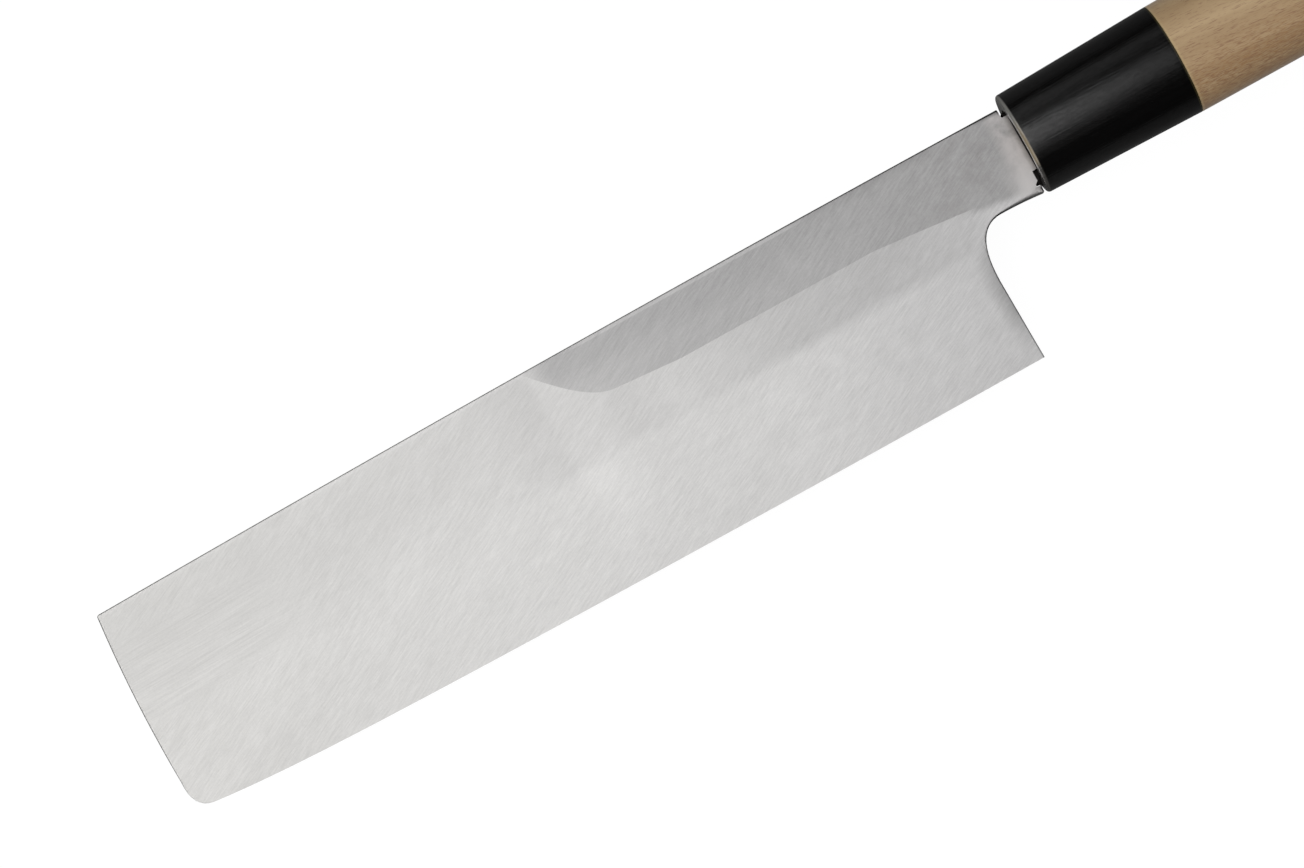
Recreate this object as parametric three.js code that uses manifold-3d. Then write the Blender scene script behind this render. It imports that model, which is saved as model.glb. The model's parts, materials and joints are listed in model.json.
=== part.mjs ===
// Usuba, the square-tipped Japanese vegetable knife: a two-layer blade, bevelled on one face
// and hollow on the other, with its tang driven into a wooden handle under a horn ferrule.
// Millimetres, +Z up.
//
// The pieces are modelled in the knife's own frame. x runs from the tip to the butt, with 0 at
// the machi, the shoulder where the neck ends and the tang begins. y runs from the edge to the
// spine, with 0 on the handle's axis. z points out of the bevelled face, with 0 halfway through
// the tang. At the end the knife is laid on a table, back down, as it would come to rest.

import * as THREE from "three";
import { mergeVertices } from "three/addons/utils/BufferGeometryUtils.js";
import Module from "manifold-3d";

// Blade outline
const bladeLength = 195.4; // machi to the line that the tip's bow leans on
const neckLength = 15.1; // heel to the machi
const neckHeight = 17.4;
const heelHeight = 44.8; // spine to edge at the heel
const spineRise = 7.95; // spine above the handle's axis at both its ends
const spineBow = 0.62; // the middle of the spine above its ends
const edgeBelly = 2.45; // slow lift of the edge from the heel to the tip
const tipSweep = 1.7; // quick lift of the edge close to the tip
const tipSweepPower = 12; // how late that quick lift begins
const tipRake = 1.95; // upper end of the tip behind that line
const tipFoot = 0.37; // and its lower end
const tipEase = 0.55; // reach of the small rounded corner between tip and spine
const tipCorner = 4.2; // reach of the rounded corner between tip and edge
const choilReach = 6.2; // the rounded corner under the neck, along the neck
const choilDrop = 10.7; // and down the heel
const heelRake = 0.4; // how far the heel leans out on its way down to the edge
const neckFlare = 0.55; // how far the neck widens from the choil to the machi
const machiNotch = 0.75; // slanting relief filed into the lower shoulder, at its deepest
const notchTop = 0.15; // and where it meets the tang
const notchLip = 1.1; // metal left below that relief

// Blade sections
const neckThickness = 3.4;
const flatThickness = 3; // where the upper flat begins, halfway along the blade
const tipThickness = 1.9;
const edgeThickness = 0.2;
const spineEase = 0.4; // chamfer along both corners of the spine
const flatStart = 93.1; // from the tip to where the upper flat leaves the spine
const flatRunIn = 14.5; // length over which its lower line curves down
const flatWidthAtStart = 9.8; // spine to shinogi, the line where the bevel begins
const flatWidth = 12.1;
const flatGain = 28; // length over which it gains that width
const flatWidthAtNeck = 15.4;
const flatSpread = 33; // length before the machi over which it widens again
const kneeDrop = 21.6; // spine to a second, fainter line, where the bevel steepens
const kneeRise = 0.2; // how far that line stands above a straight bevel
const kneeStart = 70; // from the tip to where it begins
const kneeRunIn = 45; // length over which it rises
const runOutStart = 13; // before the machi, where the bevel starts to die away into the neck
const runOutEnd = 5;
const hollowDepth = 0.35; // hollow ground into the back
const hollowRim = 2.4; // flat left round that hollow at spine and edge
const hollowTipMargin = 4;
const hollowHeelMargin = 7;
const hollowFade = 24; // length over which the hollow runs out at either end

// Cutting steel: the hard layer on the back, forge-welded to the softer body
const steelThickness = 0.8;
const steelPastHeel = 4; // how far it reaches into the neck
const weldLine = 0.02;

// Tang
const tangLength = 88; // machi to its blunt end
const tangHeight = 11.5;
const tangEndHeight = 5;
const tangThickness = 3.2;
const tangEndThickness = 2.2;
const tangRise = 0.4; // middle of the tang above the handle's axis
const tangRoot = 3; // overlap with the neck
const socketClearance = 0.3;
const socketSpare = 3; // socket beyond the tang's end

// Handle and ferrule
const machiGap = 1.25; // machi to the ferrule's front face
const handleLength = 130; // front face of the ferrule to the butt
const ferruleLength = 32.2;
const frontHeight = 20.63; // oval at the ferrule's front
const frontThickness = 18.4;
const collarHeight = 22.42; // oval where horn meets wood
const collarThickness = 20.2;
const buttHeight = 24;
const buttThickness = 21.6;
const frontRound = 0.8; // rounded rim of the ferrule's front
const buttRound = 1.6; // rounded rim of the butt
const noseRadius = 7.3; // round nose of the handle, inside the ferrule
const noseRecess = 0.05; // its end behind the ferrule's front face
const glueLine = 0.2;

// Resin round the mouth of the tang's socket
const resinDepth = 4;
const resinWidth = 0.5; // on either side of the tang
const resinAbove = 0.7;
const resinBelow = 1.1;
const resinProud = 0.3; // collar that stands out of the mouth
const resinDrop = 1.6; // radius of the drop squeezed out under the tang
const resinGap = 0.1;

// Fineness of the curved surfaces
const grindSteps = 64;
const hollowSteps = 10;
const outlineSteps = 10;
const ovalSides = 64;
const roundSteps = 4;
const dropSides = 16;
const cutMargin = 3; // cutters run this far past what they cut

const tipX = -bladeLength;
const heelX = -neckLength;
const backZ = -neckThickness / 2;
const neckBottom = spineRise - neckHeight;
const ferruleX = machiGap;
const collarX = ferruleX + ferruleLength;
const buttX = ferruleX + handleLength;

const { lerp, clamp, smoothstep } = THREE.MathUtils;
const wasm = await Module();
wasm.setup();

// Closed three.js geometry as a solid for joining and cutting
function solidOf(geometry) {
  const bare = geometry.clone();
  bare.deleteAttribute("normal");
  bare.deleteAttribute("uv");
  const merged = mergeVertices(bare, 1e-5);
  return new wasm.Manifold(new wasm.Mesh({
    numProp: 3,
    vertProperties: new Float32Array(merged.attributes.position.array),
    triVerts: new Uint32Array(merged.index.array),
  }));
}

function geometryOf(solid) {
  const mesh = solid.getMesh();
  const geometry = new THREE.BufferGeometry();
  geometry.setAttribute("position", new THREE.BufferAttribute(mesh.vertProperties, 3));
  geometry.setIndex(new THREE.BufferAttribute(mesh.triVerts, 1));
  const faceted = geometry.toNonIndexed();
  faceted.computeVertexNormals();
  return faceted;
}

// Skin over sections along x. A section is { x, points }, its points [y, z] running
// anticlockwise as seen from the butt, with as many points in each.
function loft(sections) {
  const sides = sections[0].points.length;
  const vertices = sections.flatMap(({ x, points }) => points.flatMap(([y, z]) => [x, y, z]));
  const triangles = [];
  for (let s = 0; s + 1 < sections.length; s++) {
    for (let i = 0; i < sides; i++) {
      const here = s * sides + i;
      const beside = s * sides + ((i + 1) % sides);
      triangles.push(here, beside, beside + sides);
      triangles.push(here, beside + sides, here + sides);
    }
  }
  const last = (sections.length - 1) * sides;
  for (const triangle of endFaces(sections[0].points)) {
    triangles.push(...triangle.toReversed());
  }
  for (const triangle of endFaces(sections.at(-1).points)) {
    triangles.push(...triangle.map((corner) => corner + last));
  }
  const geometry = new THREE.BufferGeometry();
  geometry.setAttribute("position", new THREE.Float32BufferAttribute(vertices, 3));
  geometry.setIndex(triangles);
  return geometry;
}

// Triangles that fill one section, anticlockwise as its points are
function endFaces(points) {
  const contour = points.map(([y, z]) => new THREE.Vector2(y, z));
  const triangles = THREE.ShapeUtils.triangulateShape(contour, []);
  return triangles.map((corners) => {
    const area = THREE.ShapeUtils.area(corners.map((corner) => contour[corner]));
    return area > 0 ? corners : corners.toReversed();
  });
}

// Height of the spine: a shallow bow between the tip and the machi
function spineY(x) {
  const along = clamp((x - tipX) / bladeLength, 0, 1);
  return spineRise + 4 * spineBow * along * (1 - along);
}

// Height of the cutting edge: level by the heel, lifting ever faster towards the tip
function edgeY(x) {
  const along = clamp((heelX - x) / (heelX - tipX), 0, 1);
  return spineRise - heelHeight + edgeBelly * along ** 2 + tipSweep * along ** tipSweepPower;
}

// Thickness of the blade at the spine
function thicknessAt(x) {
  const flatX = tipX + flatStart;
  if (x < flatX) {
    return lerp(tipThickness, flatThickness, clamp((x - tipX) / flatStart, 0, 1));
  }
  return lerp(flatThickness, neckThickness, (x - flatX) / -flatX);
}

// Distance from the spine down to the shinogi
function shinogiDrop(x) {
  const from = x - tipX - flatStart;
  const gained = lerp(flatWidthAtStart, flatWidth, clamp(from / flatGain, 0, 1));
  const spread = clamp((x + flatSpread) / flatSpread, 0, 1);
  const entry = clamp(from / flatRunIn, 0, 1);
  const width = lerp(gained, flatWidthAtNeck, spread) * Math.sin(entry * Math.PI / 2);
  return Math.max(width, 2 * spineEase);
}

// Height of the bevelled face over the back, at a distance from the spine
function bevelHeight(x, drop) {
  const flat = shinogiDrop(x);
  const edge = spineY(x) - edgeY(x);
  const straight = lerp(thicknessAt(x), edgeThickness, (drop - flat) / (edge - flat));
  const rise = kneeRise * smoothstep(x - tipX, kneeStart, kneeStart + kneeRunIn);
  const knee = drop === kneeDrop ? rise : 0;
  return lerp(straight + knee, thicknessAt(x), smoothstep(x, -runOutStart, -runOutEnd));
}

// How much of the hollow is left near its two ends, from 1 in the middle to almost none
function hollowShare(x) {
  const fromTip = x - tipX - hollowTipMargin;
  const fromHeel = heelX - hollowHeelMargin - x;
  const inside = clamp(Math.min(fromTip, fromHeel) / hollowFade, 0, 1);
  return Math.sqrt(inside * (2 - inside));
}

// One section of the ground blade, from the edge along the back to the spine and down the face
function grindSection(x) {
  const spine = spineY(x);
  const edge = edgeY(x);
  const front = backZ + thicknessAt(x);
  const share = hollowShare(x);
  const middle = (spine + edge) / 2;
  const half = ((spine - edge) / 2 - hollowRim) * lerp(0.2, 1, share);
  const points = [[edge, backZ]];
  for (let i = 0; i <= hollowSteps; i++) {
    const across = 2 * i / hollowSteps - 1;
    points.push([middle + across * half, backZ + hollowDepth * share * (1 - across ** 2)]);
  }
  points.push([spine - spineEase, backZ]);
  points.push([spine, backZ + spineEase]);
  points.push([spine, front - spineEase]);
  points.push([spine - spineEase, front]);
  for (const drop of [shinogiDrop(x), kneeDrop, spine - edge]) {
    points.push([spine - drop, backZ + bevelHeight(x, drop)]);
  }
  return { x, points };
}

// Bar ground to the blade's section, square at the tip and without choil or tang
function groundBar() {
  const start = tipX - cutMargin;
  const sections = [];
  for (let i = 0; i <= grindSteps; i++) {
    sections.push(grindSection(lerp(start, 0, i / grindSteps)));
  }
  return solidOf(loft(sections));
}

// Outline that trims the bar: bowed tip, rounded tip corner, leaning heel, choil and neck
function trimOutline() {
  const above = spineRise + spineBow + cutMargin;
  const below = spineRise - heelHeight - cutMargin;
  const cornerY = edgeY(tipX);
  const cornerTop = cornerY + tipCorner;
  const tangBottom = tangRise - tangHeight / 2;
  const choilBottom = neckBottom - choilDrop;
  const lean = heelRake / (choilBottom - (spineRise - heelHeight));
  const flare = neckFlare / (neckLength - choilReach);
  const neckEnd = neckBottom - neckFlare - flare * cutMargin;
  const rakeX = tipX + tipRake;
  const easeX = rakeX + tipEase;
  const shape = new THREE.Shape();
  shape.moveTo(easeX, above);
  shape.lineTo(easeX, spineY(easeX));
  shape.quadraticCurveTo(rakeX, spineRise, rakeX, spineRise - tipEase);
  shape.quadraticCurveTo(tipX, (spineRise + cornerTop) / 2, tipX + tipFoot, cornerTop);
  shape.quadraticCurveTo(tipX, cornerY, tipX + tipCorner, edgeY(tipX + tipCorner));
  shape.lineTo(tipX + tipCorner, below);
  shape.lineTo(heelX + lean * (choilBottom - below), below);
  shape.lineTo(heelX, choilBottom);
  shape.quadraticCurveTo(heelX, neckBottom, heelX + choilReach, neckBottom);
  shape.lineTo(cutMargin, neckEnd);
  shape.lineTo(cutMargin, neckBottom + notchLip);
  shape.lineTo(-machiNotch, neckBottom + notchLip);
  shape.lineTo(-notchTop, tangBottom);
  shape.lineTo(cutMargin, tangBottom);
  shape.lineTo(cutMargin, above);
  return shape;
}

// Straight prism over an outline in the blade's plane
function plate(shape, low, high) {
  const geometry = new THREE.ExtrudeGeometry(shape, {
    depth: high - low,
    bevelEnabled: false,
    curveSegments: outlineSteps,
  });
  return solidOf(geometry.translate(0, 0, low));
}

function block(lowX, highX, lowY, highY, lowZ, highZ) {
  const geometry = new THREE.BoxGeometry(highX - lowX, highY - lowY, highZ - lowZ);
  geometry.translate((lowX + highX) / 2, (lowY + highY) / 2, (lowZ + highZ) / 2);
  return solidOf(geometry);
}

// Flat tapering tang, grown by a clearance for its socket
function tangBar(startX, endX, clearance) {
  const sections = [startX, endX].map((x) => {
    const half = lerp(tangHeight, tangEndHeight, x / tangLength) / 2 + clearance;
    const side = lerp(tangThickness, tangEndThickness, x / tangLength) / 2 + clearance;
    const low = tangRise - half;
    const high = tangRise + half;
    return { x, points: [[low, -side], [high, -side], [high, side], [low, side]] };
  });
  return solidOf(loft(sections));
}

// Half height and half thickness of the handle's oval
function ovalAt(x) {
  if (x < collarX) {
    const along = (x - ferruleX) / ferruleLength;
    const height = lerp(frontHeight, collarHeight, along);
    return [height / 2, lerp(frontThickness, collarThickness, along) / 2];
  }
  const along = (x - collarX) / (buttX - collarX);
  const height = lerp(collarHeight, buttHeight, along);
  return [height / 2, lerp(collarThickness, buttThickness, along) / 2];
}

// Oval section drawn in by an inset on all sides
function ovalSection(x, inset) {
  const [halfHeight, halfThickness] = ovalAt(x);
  const points = [];
  for (let i = 0; i < ovalSides; i++) {
    const turn = 2 * Math.PI * i / ovalSides;
    points.push([(halfHeight - inset) * Math.cos(turn), (halfThickness - inset) * Math.sin(turn)]);
  }
  return { x, points };
}

// Sections of a quarter-round rim that starts at x and rises in the given direction
function rimSections(x, radius, direction) {
  const sections = [];
  for (let i = 0; i <= roundSteps; i++) {
    const turn = Math.PI / 2 * i / roundSteps;
    const into = radius * (1 - Math.cos(turn));
    sections.push(ovalSection(x + direction * into, radius * (1 - Math.sin(turn))));
  }
  return sections;
}

// Round bar along the handle's axis
function roundBar(startX, endX, radius) {
  const geometry = new THREE.CylinderGeometry(radius, radius, endX - startX, ovalSides);
  geometry.rotateZ(Math.PI / 2);
  return solidOf(geometry.translate((startX + endX) / 2, 0, 0));
}

// Opening that the resin fills, and the resin itself when drawn in by a gap
function resinBlock(startX, gap) {
  const half = tangHeight / 2;
  const side = tangThickness / 2 + resinWidth - gap;
  const low = tangRise - half - resinBelow + gap;
  const high = tangRise + half + resinAbove - gap;
  return block(startX, ferruleX + noseRecess + resinDepth - gap, low, high, -side, side);
}

function buildBlade() {
  const ground = groundBar().intersect(plate(trimOutline(), backZ - cutMargin, -backZ + cutMargin));
  const steelTop = backZ + steelThickness;
  const steelEnd = heelX + steelPastHeel;
  const low = spineRise - heelHeight - cutMargin;
  const high = spineRise + spineBow + cutMargin;
  const start = tipX - cutMargin;
  const layer = block(start, steelEnd, low, high, backZ - cutMargin, steelTop);
  const welded = block(start, steelEnd + weldLine, low, high, backZ - cutMargin, steelTop + weldLine);
  const tang = tangBar(-tangRoot, tangLength, 0);
  return {
    body: ground.subtract(welded).add(tang),
    steel: ground.intersect(layer),
  };
}

function buildFerrule() {
  const sections = [...rimSections(ferruleX, frontRound, 1), ovalSection(collarX, 0)];
  const bore = roundBar(ferruleX - cutMargin, collarX + cutMargin, noseRadius + glueLine);
  return solidOf(loft(sections)).subtract(bore);
}

function buildHandle() {
  const shoulderX = collarX + glueLine;
  const noseX = ferruleX + noseRecess;
  const sections = [ovalSection(shoulderX, 0), ...rimSections(buttX, buttRound, -1).toReversed()];
  const nose = roundBar(noseX, shoulderX + cutMargin, noseRadius);
  const socket = tangBar(noseX - cutMargin, tangLength + socketSpare, socketClearance);
  return solidOf(loft(sections)).add(nose).subtract(socket).subtract(resinBlock(0, 0));
}

function buildResin() {
  const collar = resinBlock(ferruleX + noseRecess - resinProud, resinGap);
  const startX = -machiNotch + resinGap;
  const endX = ferruleX - resinGap;
  const lowest = neckBottom + notchLip + resinGap;
  const tangBottom = tangRise - tangHeight / 2;
  const room = new THREE.Shape();
  room.moveTo(startX, lowest);
  room.lineTo(endX, lowest);
  room.lineTo(endX, tangBottom + resinDrop);
  room.lineTo(resinGap, tangBottom + resinDrop);
  room.lineTo(-notchTop + resinGap, tangBottom);
  const ball = new THREE.SphereGeometry(resinDrop, dropSides, dropSides / 2);
  ball.translate((startX + endX) / 2, tangBottom - resinDrop * 0.9, 0);
  const drop = solidOf(ball).intersect(plate(room, -resinDrop, resinDrop));
  return collar.add(drop).subtract(tangBar(-tangRoot, tangLength, resinGap));
}

const finishes = {
  iron: new THREE.MeshStandardMaterial({ color: 0xb4b6b6, roughness: 0.4, metalness: 1 }),
  steel: new THREE.MeshStandardMaterial({ color: 0xc8caca, roughness: 0.34, metalness: 1 }),
  horn: new THREE.MeshStandardMaterial({ color: 0x1b1917, roughness: 0.32, metalness: 0 }),
  wood: new THREE.MeshStandardMaterial({ color: 0xc39a6b, roughness: 0.7, metalness: 0 }),
  resin: new THREE.MeshStandardMaterial({ color: 0x120f0d, roughness: 0.5, metalness: 0 }),
};

function piece(name, solid, finish) {
  const mesh = new THREE.Mesh(geometryOf(solid), finish);
  mesh.name = name;
  return mesh;
}

const blade = buildBlade();
const knife = new THREE.Group();
knife.add(piece("blade_body", blade.body, finishes.iron));
knife.add(piece("cutting_steel", blade.steel, finishes.steel));
knife.add(piece("ferrule", buildFerrule(), finishes.horn));
knife.add(piece("handle", buildHandle(), finishes.wood));
knife.add(piece("tang_resin", buildResin(), finishes.resin));

// At rest the back of the tip and the ferrule's front rim touch the table.
const foremostX = tipX + tipRake * tipFoot / (tipRake + tipFoot);
const rimX = ferruleX + frontRound;
const rimDepth = ovalAt(rimX)[1];
knife.rotation.y = -Math.atan2(rimDepth + backZ, rimX - foremostX);

// The origin is on the table, under the middle of the knife.
const usuba = new THREE.Group();
usuba.add(knife);
const extent = new THREE.Box3().setFromObject(usuba, true);
const middle = extent.getCenter(new THREE.Vector3());
knife.position.set(-middle.x, -middle.y, -extent.min.z);

export default usuba;
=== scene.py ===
import json
import math

import bmesh
import bpy
import numpy as np
from mathutils import Matrix, Vector, noise


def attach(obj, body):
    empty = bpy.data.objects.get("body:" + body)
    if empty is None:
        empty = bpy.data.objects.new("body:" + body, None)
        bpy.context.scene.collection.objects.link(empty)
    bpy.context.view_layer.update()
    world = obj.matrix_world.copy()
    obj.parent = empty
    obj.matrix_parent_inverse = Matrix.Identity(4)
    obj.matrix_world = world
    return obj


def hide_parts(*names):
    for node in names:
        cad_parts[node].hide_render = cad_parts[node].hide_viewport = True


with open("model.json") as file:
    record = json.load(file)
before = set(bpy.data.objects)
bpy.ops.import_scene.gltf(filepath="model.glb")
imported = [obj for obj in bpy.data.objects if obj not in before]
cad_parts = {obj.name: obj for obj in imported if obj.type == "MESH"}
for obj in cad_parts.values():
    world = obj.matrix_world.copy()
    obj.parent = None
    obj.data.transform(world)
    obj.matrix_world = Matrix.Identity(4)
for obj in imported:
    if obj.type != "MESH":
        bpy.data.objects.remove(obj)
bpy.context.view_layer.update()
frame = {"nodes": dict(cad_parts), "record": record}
mm = 0.001
print("frame loaded:", ", ".join(sorted(frame["nodes"])))

# The knife's own frame, in mm: x from tip to butt with 0 at the machi, y from edge to spine,
# z out of the bevelled face. The record's mounts say how the knife lies in the row frame.
mounts = {mount["name"]: mount for mount in frame["record"]["mounts"]}
buttCentre = Vector(mounts["butt_face"]["pos_m"])
alongX = Vector(mounts["butt_face"]["axis"]).normalized()
outZ = -Vector(mounts["blade_back"]["axis"]).normalized()
acrossY = outZ.cross(alongX)


def reach(node):  # ends of a node along the knife, in mm from the butt
    steps = [(vertex.co - buttCentre).dot(alongX) / mm for vertex in frame["nodes"][node].data.vertices]
    return min(steps), max(steps)


machiGap = 1.25  # machi to the front face of the ferrule
machi = reach("ferrule")[0] - machiGap
origin = buttCentre + alongX * machi * mm
turned = Matrix((alongX, acrossY, outZ)).transposed()
toRow = Matrix.Translation(origin) @ turned.to_4x4() @ Matrix.Scale(mm, 4)


def lerp(low, high, share):
    return low + (high - low) * share


def clamp(value, low=0.0, high=1.0):
    return max(low, min(high, value))


def passed(value, ends):  # share of the way from the first end to the second
    return clamp((value - ends[0]) / (ends[1] - ends[0]))


def eased(value, ends):  # the same, with a smooth start and finish
    share = passed(value, ends)
    return share * share * (3 - 2 * share)


# Each input gets a link or a fixed value. Inputs come by name, or as a list in the node's own order,
# which is value, from, to, low, high for a Map Range.
def feed(tree, node, inputs):
    for name, value in inputs.items() if isinstance(inputs, dict) else enumerate(inputs):
        if isinstance(value, bpy.types.NodeSocket):
            tree.links.new(value, node.inputs[name])
        else:
            node.inputs[name].default_value = value


def addNode(tree, kind, inputs=(), **settings):  # gives the outputs of the new node
    node = tree.nodes.new(kind)
    for name, value in settings.items():
        setattr(node, name, value)
    feed(tree, node, inputs)
    return node.outputs


def hexColour(text):  # sRGB hex to linear RGBA
    parts = [int(text[i:i + 2], 16) / 255 for i in (1, 3, 5)]
    return [p / 12.92 if p <= 0.04045 else ((p + 0.055) / 1.055) ** 2.4 for p in parts] + [1.0]


def newObject(name, mesh):
    piece = bpy.data.objects.new(name, mesh)
    bpy.context.scene.collection.objects.link(piece)
    return piece


def meshFrom(name, points, faces):  # points in the knife's frame
    mesh = bpy.data.meshes.new(name)
    mesh.from_pydata([toRow @ Vector(point) for point in points], [], faces)
    mesh.update()
    return mesh


def settle(piece):  # bakes the modifiers into the piece's own mesh
    graph = bpy.context.evaluated_depsgraph_get()
    mesh = bpy.data.meshes.new_from_object(piece.evaluated_get(graph))
    piece.modifiers.clear()
    old = piece.data
    piece.data = mesh
    bpy.data.meshes.remove(old)
    mesh.name = piece.name


def combine(piece, tool, operation):
    modifier = piece.modifiers.new(operation.lower(), "BOOLEAN")
    modifier.object = tool
    modifier.operation = operation
    modifier.solver = "EXACT"
    settle(piece)
    bpy.data.objects.remove(tool)


def smoothFaces(piece, degrees):
    piece.data.polygons.foreach_set("use_smooth", [True] * len(piece.data.polygons))
    piece.data.set_sharp_from_angle(angle=math.radians(degrees))


# Blade, in mm. Down to the hollow back its sizes are those of the CAD solids, and the rest is trim.
blade = {
    "neckLength": 15.1,
    "neckHeight": 17.4,
    "heelHeight": 44.8,
    "spineRise": 7.95,
    "spineBow": 0.62,
    "edgeBelly": 2.45,
    "tipSweep": 1.7,
    "tipSweepPower": 12,
    "tipRake": 1.95,
    "tipFoot": 0.37,
    "tipEase": 0.55,
    "tipCorner": 4.2,
    "tipCornerRise": 5.6,
    "choilReach": 6.2,
    "choilDrop": 10.7,
    "heelRake": 0.4,
    "neckFlare": 0.55,
    "neckThickness": 3.4,
    "flatThickness": 3.0,
    "tipThickness": 1.9,
    "edgeThickness": 0.2,
    "flatStart": 93.1,
    "flatRunIn": 14.5,
    "flatWidthAtStart": 9.8,
    "flatWidth": 12.1,
    "flatGain": 28.0,
    "flatWidthAtNeck": 15.4,
    "flatSpread": 33.0,
    "leastFlat": 0.8,  # where there is no flat yet
    "kneeDrop": 21.6,  # a second, fainter line below the shinogi, where the bevel steepens
    "kneeRise": 0.2,
    "kneeRun": (70.0, 115.0),  # where it begins and is full, from the tip
    "bevelRunOut": (-13.0, -5.0),  # the bevel dies away into the neck
    "hollowDepth": 0.35,
    "hollowRim": 2.4,
    "hollowTipMargin": 4.0,
    "hollowHeelMargin": 7.0,
    "hollowFade": 24.0,
    "hollowLeast": 0.2,  # share of the full width that is left at its ends
    "machiLean": (0.28, -0.15),  # how far the machi leans out at its foot and at its head
    "leanRun": (-6.0, 0.0),
    "easing": 0.3,  # rounding of the rubbed-down corners
    "easingShare": 0.4,  # the most of the thickness that it takes
    "upperRound": (1.0, 1.7),  # times as much along the neck's upper edge, towards the machi
    "upperRoundRun": (-10.0, 0.0),
    "lowerRound": (1.3, 3.4),  # and along its lower edge
    "lowerRoundRun": (-9.0, 0.0),
    "choilRound": 0.3,  # how much less by the choil
    "choilRoundRun": (-13.0, -9.0),
    "neckMiddle": -1.0,  # height that parts the two edges
    "columns": 230,
    "bendColumns": 14,
    "neckColumns": 8,
}
tang = {
    "root": 1.0,
    "length": 88.0,
    "height": 11.5,
    "endHeight": 5.0,
    "thickness": 3.34,
    "endThickness": 2.2,
    "rise": 0.4,
}
tipNose = blade["tipRake"] * blade["tipFoot"] / (blade["tipRake"] + blade["tipFoot"])
tipX = reach("cutting_steel")[0] - machi - tipNose  # the line that the tip's bow leans on
heelX = -blade["neckLength"]
backZ = -blade["neckThickness"] / 2
neckBottom = blade["spineRise"] - blade["neckHeight"]
choilLevel = neckBottom - blade["choilDrop"]
tangBottom = tang["rise"] - tang["height"] / 2
tangTop = tang["rise"] + tang["height"] / 2


def spineY(x):
    along = clamp((x - tipX) / -tipX)
    return blade["spineRise"] + 4 * blade["spineBow"] * along * (1 - along)


def edgeY(x):
    along = clamp((heelX - x) / (heelX - tipX))
    lift = blade["edgeBelly"] * along ** 2 + blade["tipSweep"] * along ** blade["tipSweepPower"]
    return blade["spineRise"] - blade["heelHeight"] + lift


def thicknessAt(x):
    flatX = tipX + blade["flatStart"]
    if x < flatX:
        return lerp(blade["tipThickness"], blade["flatThickness"], clamp((x - tipX) / blade["flatStart"]))
    return lerp(blade["flatThickness"], blade["neckThickness"], (x - flatX) / -flatX)


def shinogiDrop(x):  # spine down to the line where the bevel begins
    start = x - tipX - blade["flatStart"]
    gained = lerp(blade["flatWidthAtStart"], blade["flatWidth"], clamp(start / blade["flatGain"]))
    spread = clamp((x + blade["flatSpread"]) / blade["flatSpread"])
    entry = clamp(start / blade["flatRunIn"])
    full = lerp(gained, blade["flatWidthAtNeck"], spread)
    return max(full * math.sin(entry * math.pi / 2), blade["leastFlat"])


def runOut(x):
    return eased(x, blade["bevelRunOut"])


# How dull the ground face is: 0 is as bright as the bevel, 1 as dull as the flat. A run says where
# a change begins and ends, in mm from the tip, or from the machi where its numbers are negative.
tone = {
    "band": 0.42,  # the band above the knee
    "bandRun": (104.0, 146.0),
    "bandLoss": 0.6,  # how much of it goes towards the neck
    "bandLossRun": (-30.0, -14.0),
    "patch": 0.2,  # a fainter patch where the flat begins
    "patchRun": (78.0, 92.0),
    "patchEndRun": (108.0, 126.0),
    "leastFlat": 1.0,  # mm of width from which the flat counts
    "firstFlat": 0.35,  # it blends in over its first few mm
    "firstFlatLength": 6.0,
    "startGain": 0.1,  # it is brighter where it begins
    "startGainRun": (104.0, 120.0),
    "lowGain": (0.2, 0.09),  # and towards the shinogi, most at first
    "lowGainRun": (104.0, 139.0),
    "lowGainEndRun": (-45.0, -30.0),
    "lowGainDrop": (4.0, 8.0),  # mm below the spine
    "shine": 0.3,  # and a painted glint along its upper margin, where the spine's chamfer catches light
    "shineRun": (100.0, 108.0),
    "shineEndRun": (148.0, 158.0),
    "neck": 0.25,  # the bevel's last trace on the neck
    "neckRun": (-16.0, -11.0),
    "neckSoft": 1.8,  # mm in which the flat ends there
}


def bandTone(x):
    fromTip = x - tipX
    patch = tone["patch"] * eased(fromTip, tone["patchRun"])
    patch *= 1 - eased(fromTip, tone["patchEndRun"])
    band = tone["band"] * eased(fromTip, tone["bandRun"])
    band *= 1 - tone["bandLoss"] * eased(x, tone["bandLossRun"])
    return max(patch, band)


def flatTone(x, y):
    fromTip = x - tipX
    first = eased(fromTip - blade["flatStart"], (0, tone["firstFlatLength"]))
    start = tone["startGain"] * (1 - passed(fromTip, tone["startGainRun"]))
    low = lerp(*tone["lowGain"], passed(fromTip, tone["lowGainRun"]))
    low *= 1 - passed(x, tone["lowGainEndRun"])
    low *= passed(spineY(x) - y, tone["lowGainDrop"])
    return (1 - start - low) * lerp(tone["firstFlat"], 1.0, first)


# painted highlight: a lighter band just below the spine
def paintedSpineGlint(x):
    shine = tone["shine"] * eased(x - tipX, tone["shineRun"])
    return shine * (1 - eased(x - tipX, tone["shineEndRun"]))
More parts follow.
